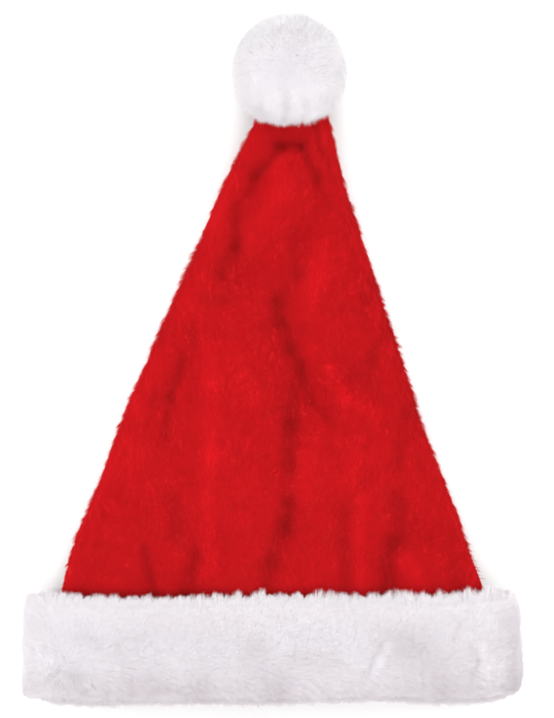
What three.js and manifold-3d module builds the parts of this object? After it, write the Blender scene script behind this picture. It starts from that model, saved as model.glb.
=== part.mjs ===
// A plush Santa hat as it lies on a table: a cone of red pile cloth, a cuff of white fur round its
// mouth and a white fur pompom sewn over its tip. Millimetres, +Z up, +Y from the mouth to the
// pompom. The origin is on the table, under the middle of the hat's footprint.
import * as THREE from "three";
import { LoftGeometry } from "three/addons/geometries/LoftGeometry.js";
import { mergeVertices } from "three/addons/utils/BufferGeometryUtils.js";
import Module from "manifold-3d";

const wasm = await Module();
wasm.setup();

const { cos, sin, abs, sqrt, max, min, round, hypot, exp, PI } = Math;
const { lerp, clamp, smoothstep, seededRandom } = THREE.MathUtils;
const ALONG_HAT = new THREE.Vector3(0, 1, 0);

// The crown, a cone of cloth with two layers when it lies flat.
const CLOTH = 3; // thickness of one layer, backing and pile together
const CROWN_BASE_WIDTH = 249; // across, where it enters the cuff
const CROWN_TIP_WIDTH = 41; // across, where it enters the pompom
const CROWN_LENGTH = 279; // the stretch that shows between the cuff and the pompom
const CROWN_LEAN = 12; // how far the tip lies to the right of the mouth's middle
const CROWN_LOFT = 29; // from underside to top, halfway up
const TIP_HEIGHT = 19; // from underside to top, at the pompom
const TIP_LIFT = 14; // how far the pompom holds the tip's underside off the table
const MOUTH_HEIGHT = 22; // from underside to top, inside the cuff
const HEM_INSET = 3; // how far the cloth's lower edge lies inside the cuff's rim

// The cuff, a folded band of fur cloth.
const CUFF_HEIGHT = 62; // from the rim to the edge that lies over the crown
const CUFF_END_PADDING = 20; // fur beside each end of the mouth
const CUFF_TOP_PADDING = 17; // fur above the mouth
const CUFF_FLOOR_PADDING = 7; // fur below the mouth, pressed by the hat's weight
const CUFF_EDGE_ROUND = 9; // radius of the band's rounded edges
const CUFF_PUFF = 2; // how far the band's soft swells stand out
const CUFF_PRESS = 1.5; // how much of its underside the table flattens

// The pompom, a ball of fur.
const POMPOM_DIAMETER = 65;
const POMPOM_SHIFT = 2.4; // how far its middle lies to the left of the tip's
const POMPOM_PRESS = 2; // how much of its underside the table flattens
const TIP_SEAT = 12; // how deep the tip is sunk in its fur

// The fur's locks.
const LOCK_STAND = 5; // how far a lock stands off its backing
const LOCK_ROOT = 6; // how deep its root is sunk in the backing
const LOCK_SHORTEST = 0.75; // share of LOCK_STAND
const LOCK_DROOP = 0.25; // most sideways lean
const LOCK_PITCH = 0.85; // from one lock to the next, as a share of its width
const CUFF_LOCK_WIDTH = 27;
const POMPOM_LOCK_WIDTH = 20;

const SEAM_GAP = 0.4; // clearance between neighbouring pieces
const POLE = 1e-3; // points nearer than this are one point

// The forms of a flattened tube's section: waist is how high its widest place is, as a share of its
// height, and the powers say how square its upper and lower halves are. 2 is an ellipse, and more
// is flatter with rounder ends.
const LYING_FORM = { waist: 0.3, topPower: 2.2, floorPower: 5 }; // the crown, on the table
const HELD_FORM = { waist: 0.5, topPower: 2.2, floorPower: 2.2 }; // the crown, in cuff and pompom
const BAND_FORM = { waist: 0.45, topPower: 7, floorPower: 7 }; // the cuff

const CROWN_POINTS = 40; // round one section of the crown
const CROWN_STEPS = 20; // along the stretch that shows
const TIP_TURNS = [1, 0.8, 0.6, 0.4, 0.2]; // sections of the closed tip, as shares of a quarter turn
const CUFF_POINTS = 40; // round one section of the cuff's backing
const CUFF_EDGE_STEPS = [0.02, 0.15, 0.45, 1]; // its sections at each edge, as shares of CUFF_EDGE_ROUND
const CUFF_MIDDLE_STEPS = [0.38, 0.62]; // and between the edges, as shares of CUFF_HEIGHT
const POMPOM_SEGMENTS = 16;
const LOCK_SIDES = 6;

// How the crown's outline runs, one row for each place along the stretch that shows.
//   along     share of CROWN_LENGTH, from the cuff to the pompom
//   width     share of the way from the tip's width, 0, to the base's, 1
//   lean      share of CROWN_LEAN
//   mouth, tip  how much of the height there is the mouth's and the tip's; the rest is the loft
//   rest, lift  share of the height at which the cuff, and the pompom, hold the underside
const CROWN_SECTIONS = [
  { along: 0.0, width: 1.0, lean: 0.05, mouth: 1.0, tip: 0.0, rest: 1.0, lift: 0.0 },
  { along: 0.07, width: 0.935, lean: -0.12, mouth: 0.7, tip: 0.0, rest: 0.5, lift: 0.0 },
  { along: 0.15, width: 0.866, lean: -0.07, mouth: 0.35, tip: 0.0, rest: 0.12, lift: 0.0 },
  { along: 0.24, width: 0.767, lean: -0.05, mouth: 0.1, tip: 0.0, rest: 0.0, lift: 0.0 },
  { along: 0.36, width: 0.647, lean: -0.07, mouth: 0.0, tip: 0.0, rest: 0.0, lift: 0.0 },
  { along: 0.49, width: 0.521, lean: 0.13, mouth: 0.0, tip: 0.0, rest: 0.0, lift: 0.0 },
  { along: 0.61, width: 0.397, lean: 0.16, mouth: 0.0, tip: 0.1, rest: 0.0, lift: 0.0 },
  { along: 0.74, width: 0.262, lean: 0.4, mouth: 0.0, tip: 0.35, rest: 0.0, lift: 0.04 },
  { along: 0.86, width: 0.145, lean: 0.53, mouth: 0.0, tip: 0.7, rest: 0.0, lift: 0.35 },
  { along: 0.94, width: 0.066, lean: 0.8, mouth: 0.0, tip: 0.92, rest: 0.0, lift: 0.75 },
  { along: 1.0, width: 0.0, lean: 1.0, mouth: 0.0, tip: 1.0, rest: 0.0, lift: 1.0 },
];

// The folds in the crown's upper layer, each a straight furrow that fades at its ends.
//   across   share of half the width there, from the left edge, -1, to the right, 1
//   along    share of CROWN_LENGTH
//   width    share of FOLD_WIDTH
//   depth    share of FOLD_DEPTH; a negative one is a ridge
const FOLD_WIDTH = 20;
const FOLD_DEPTH = 5;
const FOLD_FADE = 0.3; // share of the crown's height below which there are no folds
const CROWN_FOLDS = [
  { fromAcross: 0.1, fromAlong: 0.97, toAcross: -0.42, toAlong: 0.87, width: 0.5, depth: 0.75 },
  { fromAcross: -0.42, fromAlong: 0.87, toAcross: -0.45, toAlong: 0.7, width: 0.7, depth: 0.7 },
  { fromAcross: 0.15, fromAlong: 0.96, toAcross: 0.72, toAlong: 0.84, width: 0.5, depth: 0.6 },
  { fromAcross: 0.1, fromAlong: 0.86, toAcross: 0.12, toAlong: 0.74, width: 0.8, depth: -0.5 },
  { fromAcross: 0.0, fromAlong: 0.66, toAcross: 0.2, toAlong: 0.44, width: 0.8, depth: 0.9 },
  { fromAcross: 0.16, fromAlong: 0.38, toAcross: 0.06, toAlong: 0.08, width: 0.9, depth: 0.8 },
  { fromAcross: -0.66, fromAlong: 0.48, toAcross: -0.7, toAlong: 0.34, width: 0.8, depth: 0.5 },
  { fromAcross: -0.3, fromAlong: 0.6, toAcross: -0.26, toAlong: 0.16, width: 1.3, depth: -0.5 },
  { fromAcross: -0.62, fromAlong: 0.12, toAcross: -0.56, toAlong: 0.0, width: 0.7, depth: 0.7 },
  { fromAcross: -0.34, fromAlong: 0.16, toAcross: -0.4, toAlong: 0.0, width: 0.7, depth: 0.6 },
  { fromAcross: 0.44, fromAlong: 0.5, toAcross: 0.38, toAlong: 0.1, width: 1.1, depth: -0.4 },
  { fromAcross: 0.66, fromAlong: 0.25, toAcross: 0.54, toAlong: 0.0, width: 0.8, depth: 1.0 },
  { fromAcross: 0.72, fromAlong: 0.54, toAcross: 0.8, toAlong: 0.34, width: 0.7, depth: 0.6 },
];

// The soft swells of the cuff.
//   across   share of half its width, from the left end, -1, to the right, 1
//   up       share of CUFF_HEIGHT, from the rim
//   size     share of CUFF_HEIGHT that the swell reaches
//   height   share of CUFF_PUFF
const CUFF_SWELLS = [
  { across: -0.72, up: 0.2, size: 0.7, height: 0.8 },
  { across: -0.38, up: 0.65, size: 0.6, height: 0.5 },
  { across: -0.05, up: 0.4, size: 0.7, height: 0.9 },
  { across: 0.42, up: 0.6, size: 0.6, height: 0.6 },
  { across: 0.8, up: 0.3, size: 0.6, height: 1.0 },
];

// The rows of locks on the cuff.
//   up     share of CUFF_HEIGHT, from the rim
//   lean   how far the locks point towards the rim, -1, or the crown, 1
const CUFF_LOCK_ROWS = [
  { up: 0.2, lean: -0.4 },
  { up: 0.5, lean: 0.0 },
  { up: 0.8, lean: 0.4 },
];

// A geometry as a manifold-3d solid, with its seams and poles closed.
function solidOf(geometry) {
  const bare = new THREE.BufferGeometry();
  bare.setAttribute("position", geometry.getAttribute("position"));
  bare.setIndex(geometry.index);
  const merged = mergeVertices(bare, POLE);
  const corners = merged.index.array;
  const triangles = [];
  for (let i = 0; i < corners.length; i += 3) {
    const [a, b, c] = corners.slice(i, i + 3);
    if (a !== b && b !== c && c !== a) triangles.push(a, b, c);
  }
  return new wasm.Manifold(
    new wasm.Mesh({
      numProp: 3,
      vertProperties: merged.attributes.position.array,
      triVerts: new Uint32Array(triangles),
    }),
  );
}

// A manifold-3d solid as a named mesh.
function meshOf(name, solid, material) {
  const made = solid.getMesh();
  const geometry = new THREE.BufferGeometry();
  geometry.setAttribute("position", new THREE.BufferAttribute(made.vertProperties, 3));
  geometry.setIndex(new THREE.BufferAttribute(made.triVerts, 1));
  geometry.computeVertexNormals();
  const mesh = new THREE.Mesh(geometry, material);
  mesh.name = name;
  return mesh;
}

// One column of a table as a smooth function of the place along it.
function column(rows, name) {
  const places = rows.map((row) => row.along);
  const curve = new THREE.CubicInterpolant(places, rows.map((row) => row[name]), 1);
  return (along) => curve.evaluate(clamp(along, 0, 1))[0];
}

// Points round a flattened tube, seen along +Y.
function sectionPoints({ y, middle, halfWidth, floor, height, waist, topPower, floorPower }, count) {
  const widest = floor + height * waist;
  return Array.from({ length: count }, (_, i) => {
    const angle = (2 * PI * i) / count;
    const upper = sin(angle) >= 0;
    const reach = sqrt(max(0, 1 - abs(cos(angle)) ** (upper ? topPower : floorPower)));
    const half = upper ? height * (1 - waist) : -height * waist;
    return new THREE.Vector3(middle + halfWidth * cos(angle), y, widest + half * reach);
  });
}

const MOUTH_FLOOR = CUFF_FLOOR_PADDING + SEAM_GAP;
const CUFF_WIDTH = CROWN_BASE_WIDTH + 2 * (CUFF_END_PADDING + SEAM_GAP);
const CUFF_THICKNESS = MOUTH_FLOOR + MOUTH_HEIGHT + SEAM_GAP + CUFF_TOP_PADDING;
const TIP_START = CUFF_HEIGHT + CROWN_LENGTH;
const outline = Object.fromEntries(
  ["width", "lean", "mouth", "tip", "rest", "lift"].map((name) => [name, column(CROWN_SECTIONS, name)]),
);

// The crown's section at a place along the hat, with its wall taken in or its outside grown.
function crownSection(y, inset) {
  const along = (y - CUFF_HEIGHT) / CROWN_LENGTH;
  const past = clamp((y - TIP_START) / (TIP_SEAT - inset), 0, 1); // into the pompom
  const closing = sqrt(max(0, 1 - past * past));
  const width = lerp(CROWN_TIP_WIDTH, CROWN_BASE_WIDTH, outline.width(along));
  const mouth = outline.mouth(along);
  const tip = outline.tip(along);
  const height = mouth * MOUTH_HEIGHT + tip * TIP_HEIGHT + (1 - mouth - tip) * CROWN_LOFT;
  const floor = max(0, outline.rest(along)) * MOUTH_FLOOR + max(0, outline.lift(along)) * TIP_LIFT;
  const held = max(mouth, tip);
  return {
    y,
    middle: CROWN_LEAN * outline.lean(along),
    halfWidth: (width / 2 - inset) * closing,
    floor: floor + (height / 2) * (1 - closing) + inset * closing,
    height: (height - 2 * inset) * closing,
    waist: lerp(LYING_FORM.waist, HELD_FORM.waist, held),
    topPower: lerp(LYING_FORM.topPower, HELD_FORM.topPower, held),
    floorPower: lerp(LYING_FORM.floorPower, HELD_FORM.floorPower, held),
  };
}

// The folds as lines seen from above, each with its real width and depth.
const crownFolds = CROWN_FOLDS.map(({ fromAcross, fromAlong, toAcross, toAlong, width, depth }) => {
  const end = (across, along) => {
    const at = crownSection(CUFF_HEIGHT + along * CROWN_LENGTH, 0);
    return new THREE.Vector3(at.middle + across * at.halfWidth, at.y, 0);
  };
  const line = new THREE.Line3(end(fromAcross, fromAlong), end(toAcross, toAlong));
  return { line, width: width * FOLD_WIDTH, depth: depth * FOLD_DEPTH };
});

// How far the folds lower the upper layer at a point.
function foldDepth(x, y) {
  const point = new THREE.Vector3(x, y, 0);
  const nearest = new THREE.Vector3();
  return crownFolds.reduce((sum, { line, width, depth }) => {
    const away = point.distanceTo(line.closestPointToPoint(point, true, nearest));
    return sum + depth * exp(-2 * (away / width) ** 2);
  }, 0);
}

// A ring of the crown's cloth. Its folds fade where the upper layer meets the lower one, and where
// the cuff and the pompom hold it.
function crownRing(y, inset) {
  const section = crownSection(y, inset);
  const fromCuff = smoothstep(y, CUFF_HEIGHT - CUFF_EDGE_ROUND, CUFF_HEIGHT + CUFF_EDGE_ROUND);
  const free = fromCuff * (1 - smoothstep(y, TIP_START - TIP_SEAT, TIP_START + TIP_SEAT));
  return sectionPoints(section, CROWN_POINTS).map((point) => {
    const upper = clamp((point.z - section.floor) / max(section.height, POLE), 0, 1);
    point.z -= foldDepth(point.x, point.y) * free * smoothstep(upper, FOLD_FADE, 1);
    return point;
  });
}

// Places along the crown, from the pole of its rounded tip to a given start.
function crownPlaces(start, inset) {
  const end = TIP_START + TIP_SEAT - inset;
  const rounding = TIP_TURNS.map((turn) => lerp(TIP_START, end, sin((turn * PI) / 2)));
  const straight = Array.from({ length: CROWN_STEPS + 1 }, (_, i) =>
    lerp(TIP_START, CUFF_HEIGHT, i / CROWN_STEPS),
  );
  return [...rounding, ...straight, CUFF_HEIGHT - CUFF_EDGE_ROUND, start];
}

// The outside of the crown as one full solid, grown by a clearance and run out past the mouth.
// What surrounds the crown is cut with it.
function crownSpace(clearance) {
  const rings = crownPlaces(-CUFF_HEIGHT, -clearance).map((y) => crownRing(y, -clearance));
  return solidOf(new LoftGeometry(rings, { capEnd: true }));
}

// The crown's cloth: its outside, then round the hem and back up its inside.
function crown() {
  const outside = crownPlaces(HEM_INSET, 0).map((y) => crownRing(y, 0));
  const inside = crownPlaces(HEM_INSET, CLOTH).map((y) => crownRing(y, CLOTH));
  return solidOf(new LoftGeometry([...outside, ...inside.reverse()]));
}

// One lock of fur, standing on a point and pointing along a direction: a broad tuft that tapers to
// its tip, with its root sunk in the backing.
function lock(root, direction, width, length) {
  const profile = [
    new THREE.Vector2(0, -LOCK_ROOT),
    new THREE.Vector2(0.5 * width, -LOCK_ROOT),
    new THREE.Vector2(0.45 * width, 0),
    new THREE.Vector2(0, length),
  ];
  const turn = new THREE.Quaternion().setFromUnitVectors(ALONG_HAT, direction.clone().normalize());
  const tuft = new THREE.LatheGeometry(profile, LOCK_SIDES).applyQuaternion(turn);
  return solidOf(tuft.translate(root.x, root.y, root.z));
}

// Everything under the table's top, which flattens the fur that rests on it.
function belowTable() {
  const reach = 4 * (CUFF_WIDTH + CROWN_LENGTH + POMPOM_DIAMETER);
  const depth = POMPOM_DIAMETER + CUFF_THICKNESS;
  return solidOf(new THREE.BoxGeometry(reach, reach, depth).translate(0, 0, -depth / 2));
}

// Fur: a backing with its locks fused to it, cut clear of the crown and pressed flat by the table.
// Only the largest body is kept, so the small hollows between locks and backing are filled.
function furOf(backing, locks) {
  const whole = wasm.Manifold.union([backing, ...locks]);
  const cut = whole.subtract(crownSpace(SEAM_GAP)).subtract(belowTable());
  return cut.decompose().reduce((a, b) => (b.volume() > a.volume() ? b : a));
}

// The cuff's section at a place between its rim and its upper edge, whose edges are rounded.
function cuffSection(y, inset) {
  const fromEdge = min(y, CUFF_HEIGHT - y) / CUFF_EDGE_ROUND;
  const rounding = CUFF_EDGE_ROUND * (1 - sqrt(1 - (1 - clamp(fromEdge, 0, 1)) ** 2)) + inset;
  return {
    y,
    middle: 0,
    halfWidth: CUFF_WIDTH / 2 - rounding,
    floor: rounding - inset - CUFF_PRESS,
    height: CUFF_THICKNESS + CUFF_PRESS - 2 * rounding + inset,
    ...BAND_FORM,
  };
}

// The cuff's section with its swells, as an evenly spaced ring.
function cuffRing(y, inset) {
  const points = sectionPoints(cuffSection(y, inset), CUFF_POINTS);
  points.forEach((point) => {
    const swell = CUFF_SWELLS.reduce((sum, { across, up, size, height }) => {
      const away = hypot(point.x - (across * CUFF_WIDTH) / 2, y - up * CUFF_HEIGHT);
      return sum + height * CUFF_PUFF * exp(-2 * (away / (size * CUFF_HEIGHT)) ** 2);
    }, 0);
    point.z += (swell - CUFF_PUFF / 2) * smoothstep(point.z, CUFF_THICKNESS / 2, CUFF_THICKNESS);
  });
  return new THREE.CatmullRomCurve3(points, true);
}

// The cuff: a backing with locks fused to it, opened by the crown and pressed flat by the table.
function cuff() {
  const edge = CUFF_EDGE_STEPS.map((share) => share * CUFF_EDGE_ROUND);
  const middle = CUFF_MIDDLE_STEPS.map((share) => share * CUFF_HEIGHT);
  const places = [...edge, ...middle, ...edge.map((y) => CUFF_HEIGHT - y).reverse()];
  const rings = places.map((y) => cuffRing(y, LOCK_STAND).getSpacedPoints(CUFF_POINTS).slice(1));
  const backing = solidOf(new LoftGeometry(rings.reverse(), { capStart: true, capEnd: true }));

  const locks = CUFF_LOCK_ROWS.flatMap(({ up, lean }, row) => {
    const ring = cuffRing(up * CUFF_HEIGHT, LOCK_STAND);
    const count = round(ring.getLength() / (LOCK_PITCH * CUFF_LOCK_WIDTH));
    return Array.from({ length: count }, (_, i) => {
      const place = (i + (row % 2) / 2) / count;
      const root = ring.getPointAt(place);
      const tangent = ring.getTangentAt(place);
      const outward = new THREE.Vector3(tangent.z, 0, -tangent.x);
      const droop = lerp(-LOCK_DROOP, LOCK_DROOP, seededRandom());
      const direction = outward.multiplyScalar(sqrt(1 - lean * lean));
      direction.addScaledVector(ALONG_HAT, lean).addScaledVector(tangent, droop);
      const length = LOCK_STAND * lerp(LOCK_SHORTEST, 1, seededRandom());
      return lock(root, direction, CUFF_LOCK_WIDTH, length);
    });
  });
  return furOf(backing, locks);
}

// The pompom: locks of fur fused all round a ball, with a seat for the crown's tip.
function pompom() {
  const radius = POMPOM_DIAMETER / 2;
  const core = radius - LOCK_STAND;
  const joint = CROWN_TIP_WIDTH / 2;
  const middle = new THREE.Vector3(
    CROWN_LEAN - POMPOM_SHIFT,
    TIP_START + sqrt(radius * radius - joint * joint) + SEAM_GAP,
    radius - POMPOM_PRESS,
  );
  const ball = new THREE.SphereGeometry(core, POMPOM_SEGMENTS, POMPOM_SEGMENTS / 2);
  const backing = solidOf(ball.translate(middle.x, middle.y, middle.z));

  const count = round((4 * PI * core * core) / (LOCK_PITCH * POMPOM_LOCK_WIDTH) ** 2);
  const goldenAngle = PI * (3 - sqrt(5));
  const locks = Array.from({ length: count }, (_, i) => {
    const height = 1 - (2 * i + 1) / count;
    const ring = sqrt(1 - height * height);
    const angle = i * goldenAngle;
    const outward = new THREE.Vector3(ring * cos(angle), ring * sin(angle), height);
    const length = LOCK_STAND * lerp(LOCK_SHORTEST, 1, seededRandom());
    return lock(middle.clone().addScaledVector(outward, core), outward, POMPOM_LOCK_WIDTH, length);
  });
  return furOf(backing, locks);
}

const redPile = new THREE.MeshStandardMaterial({ color: 0xc4141b, roughness: 0.95, metalness: 0 });
const whiteFur = new THREE.MeshStandardMaterial({ color: 0xeeebef, roughness: 1, metalness: 0 });

seededRandom(24);
const hat = new THREE.Group();
hat.add(
  meshOf("crown", crown(), redPile),
  meshOf("cuff", cuff(), whiteFur),
  meshOf("pompom", pompom(), whiteFur),
);

// The origin goes on the table, under the middle of the footprint.
const room = new THREE.Box3().setFromObject(hat);
const centre = room.getCenter(new THREE.Vector3());
hat.position.set(-centre.x, -centre.y, -room.min.z);

export default hat;
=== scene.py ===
import bmesh
import bpy
import numpy as np
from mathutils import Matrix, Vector, kdtree, noise
from mathutils.bvhtree import BVHTree


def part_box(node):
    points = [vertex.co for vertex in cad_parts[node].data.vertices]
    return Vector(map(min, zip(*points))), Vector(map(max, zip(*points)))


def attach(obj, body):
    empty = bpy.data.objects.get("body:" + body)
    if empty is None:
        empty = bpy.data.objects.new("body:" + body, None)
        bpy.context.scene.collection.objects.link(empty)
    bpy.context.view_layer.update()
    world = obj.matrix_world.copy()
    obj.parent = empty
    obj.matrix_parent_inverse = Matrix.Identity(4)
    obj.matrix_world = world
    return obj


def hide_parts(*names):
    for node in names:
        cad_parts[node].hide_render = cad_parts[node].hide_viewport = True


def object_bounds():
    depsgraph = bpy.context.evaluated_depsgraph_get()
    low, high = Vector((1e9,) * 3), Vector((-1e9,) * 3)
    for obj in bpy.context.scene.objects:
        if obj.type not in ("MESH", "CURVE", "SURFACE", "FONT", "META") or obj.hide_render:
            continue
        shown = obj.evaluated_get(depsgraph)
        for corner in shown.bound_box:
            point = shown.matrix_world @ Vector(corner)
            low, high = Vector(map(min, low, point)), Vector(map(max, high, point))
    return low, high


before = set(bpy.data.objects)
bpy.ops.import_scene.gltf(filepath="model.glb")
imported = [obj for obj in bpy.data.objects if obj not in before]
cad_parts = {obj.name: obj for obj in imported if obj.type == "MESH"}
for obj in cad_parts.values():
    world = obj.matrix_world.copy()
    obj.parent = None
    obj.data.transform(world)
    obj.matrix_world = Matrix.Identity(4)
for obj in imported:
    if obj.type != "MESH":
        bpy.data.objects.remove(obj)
cad_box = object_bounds()

# The camera looks straight down, as the photograph does, with the mouth of the hat at its lower
# edge. One of the photograph's pixels is this wide at the height of the hat's outline.
PIXEL = 0.000583
PHOTO_WIDTH = 554
PHOTO_HEIGHT = 718
RIM_PIXEL_Y = 700  # the row where the cuff's rim is
CUFF_PIXEL_X = 271.5  # the column through the middle of the cuff
OUTLINE_HEIGHT = 0.018
LENS_MM = 100
SENSOR_MM = 36


def seen_at(pixel_x, pixel_y):
    """Where a pixel of the photograph lies over the floor, at the height of the hat's outline."""
    middle = (cad_box[0].x + cad_box[1].x) / 2
    rim = cad_box[0].y
    return middle + (pixel_x - CUFF_PIXEL_X) * PIXEL, rim + (RIM_PIXEL_Y - pixel_y) * PIXEL


camera = bpy.data.objects.new("camera", bpy.data.cameras.new("camera"))
camera.data.lens = LENS_MM
camera.data.sensor_width = SENSOR_MM
distance = PHOTO_HEIGHT * PIXEL * LENS_MM / SENSOR_MM
camera.location = (*seen_at(PHOTO_WIDTH / 2, PHOTO_HEIGHT / 2), OUTLINE_HEIGHT + distance)
bpy.context.collection.objects.link(camera)
bpy.context.scene.camera = camera

# The studio: a white paper sweep, a broad soft lamp beyond the pompom, a weaker one behind the
# camera, and white walls all round, so that shadows stay faint.
FLOOR_SIZE = 6.0
PAPER_WHITE = "#D6D6D6"
SKY_WHITE = "#FFFFFF"
SKY_STRENGTH = 1.95
LIGHT_BOUNCES = 16  # light goes on from hair to hair in white fur
LAMPS = (
    {"name": "key_lamp", "place": (0.15, 1.1, 1.35), "size": 1.3, "watts": 10.0},
    {"name": "fill_lamp", "place": (-0.6, -1.0, 1.5), "size": 1.6, "watts": 5.0},
)


def to_linear(hex_colour):
    """A colour from its sRGB hex value, as the renderer wants it."""
    shares = np.array([int(hex_colour[i:i + 2], 16) for i in (1, 3, 5)]) / 255
    linear = np.where(shares <= 0.04045, shares / 12.92, ((shares + 0.055) / 1.055) ** 2.4)
    return (*linear, 1.0)


def add_node(tree, kind, inputs=None, **settings):
    """A node with its settings, and its inputs, each given a value or another node's output."""
    node = tree.nodes.new("ShaderNode" + kind)
    for name, value in settings.items():
        setattr(node, name, value)
    for name, value in (inputs or {}).items():
        if isinstance(value, bpy.types.NodeSocket):
            tree.links.new(value, node.inputs[name])
        else:
            node.inputs[name].default_value = value
    return node


def new_material(name):
    """A material with an empty node tree."""
    material = bpy.data.materials.new(name)
    material.use_nodes = True
    material.node_tree.nodes.clear()
    return material


# The paper is uncoated and matt, so it takes soft shadows and shows no gloss.
paper = new_material("matt_white_paper")
tree = paper.node_tree
surface = add_node(tree, "BsdfPrincipled", {"Base Color": to_linear(PAPER_WHITE), "Roughness": 0.9})
add_node(tree, "OutputMaterial", {"Surface": surface.outputs["BSDF"]})

sweep = bmesh.new()
bmesh.ops.create_grid(sweep, x_segments=1, y_segments=1, size=FLOOR_SIZE / 2)
floor = bpy.data.objects.new("floor", bpy.data.meshes.new("floor"))
sweep.to_mesh(floor.data)
sweep.free()
floor.data.materials.append(paper)
bpy.context.collection.objects.link(floor)

world = bpy.data.worlds.new("white_walls")
world.use_nodes = True
world.node_tree.nodes["Background"].inputs["Color"].default_value = to_linear(SKY_WHITE)
world.node_tree.nodes["Background"].inputs["Strength"].default_value = SKY_STRENGTH
bpy.context.scene.world = world
bpy.context.scene.view_settings.view_transform = "Standard"
bpy.context.scene.cycles.max_bounces = LIGHT_BOUNCES
bpy.context.scene.cycles.diffuse_bounces = LIGHT_BOUNCES
bpy.context.scene.cycles.transmission_bounces = LIGHT_BOUNCES

for lamp in LAMPS:
    light = bpy.data.objects.new(lamp["name"], bpy.data.lights.new(lamp["name"], "AREA"))
    light.data.size = lamp["size"]
    light.data.energy = lamp["watts"]
    light.location = lamp["place"]
    light.rotation_euler = (-light.location).to_track_quat("-Z", "Y").to_euler()
    bpy.context.collection.objects.link(light)

# The crown is one cone of polyester plush, a knitted backing with a short cut pile, which lies flat
# in two layers. Its cloth keeps the soft furrows of the box that it was folded in. Shade is painted
# on the pile in them, and a highlight on the ridges between.
SMOOTHING = 2
# How far the cloth lies below the outline of its pile, how far that outline goes past the solid at
# each end, and how deep the deepest furrow is.
PILE_STAND = 0.0011
WIDER_AT_CUFF = 0.0012
WIDER_AT_TIP = 0.0002
FURROW_DEPTH = 0.0018
# How near two of the solid's corners lie when they are one or are on one ring, and which of its
# triangles make a four-sided face together.
SAME_CORNER = 1e-5
SAME_RING = 2e-5
FLAT_ENOUGH = 0.9
SQUARE_ENOUGH = 1.2
# The cloth is only shaped between the cuff and the pompom, and more and more over these lengths.
UNDER_CUFF = 0.010
BESIDE_CUFF = 0.012
BESIDE_POMPOM = 0.012
# The swells of the cloth, each with its height, its size and a seed. They are longer along the hat
# and up it than across it.
SWELLS = ((0.0012, 0.045, 1), (0.0006, 0.016, 2), (0.0004, 0.006, 3))
SWELL_STRETCH = (1, 0.6, 0.3)
# How bright the pile is, from 0 to 1, with the shade painted in a furrow and the shadow painted
# beside the cuff. The highlight painted on a ridge is weaker than a furrow's painted shade. The mottle is
# given as the swells are.
PILE_TONE = {"all over": 0.62, "painted furrow shade and ridge highlight": -0.3, "painted shadow by the cuff": -0.55}
RIDGE_HIGHLIGHT_SHARE = 0.6
CUFF_SHADOW = (-0.003, 0.007)
PILE_MOTTLE = ((0.05, 0.011, 4), (0.03, 0.004, 5))
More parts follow.
